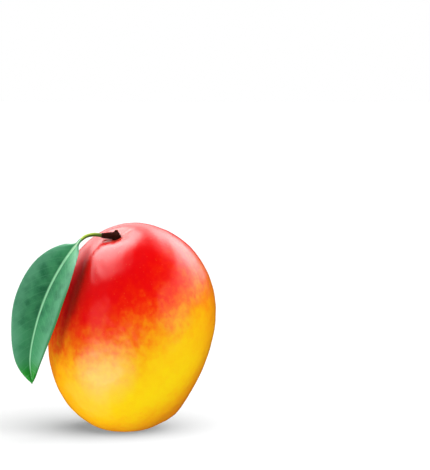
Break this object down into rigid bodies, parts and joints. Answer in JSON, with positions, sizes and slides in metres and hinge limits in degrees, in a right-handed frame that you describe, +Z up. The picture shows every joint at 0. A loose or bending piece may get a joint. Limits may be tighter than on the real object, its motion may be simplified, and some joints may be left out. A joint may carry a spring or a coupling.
{
  "type": "mango",
  "caption": "Plump ripe mango, red at the top and yellow below, standing on a small flat spot, with a woody stem stub and a green leaf hanging at its left.",
  "frame": {"origin": "on the flat spot that the fruit rests on, at floor level", "axes": "+Z up from the flat spot; +X to the fruit's right as seen from the front, away from the leaf; +Y from the front cheek to the back cheek"},
  "size_m": [0.1116, 0.084, 0.1156],
  "materials": {
    "mango_skin": "satin",
    "stem_wood": "matte",
    "leaf_green": "satin"
  },
  "bodies": {
    "root": {"fruit": "mango_skin", "stem": "stem_wood", "leaf": "leaf_green"}
  },
  "joints": []
}
